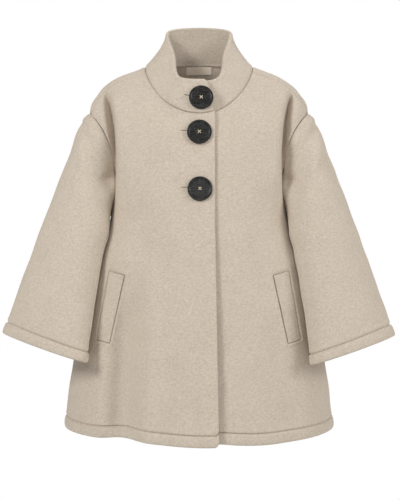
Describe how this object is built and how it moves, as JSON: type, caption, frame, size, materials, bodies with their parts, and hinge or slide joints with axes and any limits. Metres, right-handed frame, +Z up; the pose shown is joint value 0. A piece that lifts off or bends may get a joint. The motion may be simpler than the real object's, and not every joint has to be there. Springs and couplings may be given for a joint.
{
  "type": "funnel-collar coat",
  "caption": "A-line wool coat, filled out with no wearer: tall funnel collar, wide bell sleeves, large dark buttons on a lapped front and slanted welt pockets.",
  "frame": {"origin": "on the coat's centre plane, midway between the two neck points where the shoulder seams meet the collar, where the wearer's shoulders carry it", "axes": "+Z up, the coat's front faces -Y, +X to the wearer's left"},
  "size_m": [0.8046, 0.3408, 0.8669],
  "materials": {
    "wool": "felted wool",
    "horn": "polished dark horn",
    "label": "woven tape"
  },
  "bodies": {
    "root": {"front_right": "wool", "front_left": "wool", "back": "wool", "sleeve_right": "wool", "sleeve_left": "wool", "collar": "wool", "pocket_welt_right": "wool", "pocket_welt_left": "wool", "button_1": "horn", "button_2": "horn", "button_3": "horn", "label": "label"}
  },
  "joints": []
}
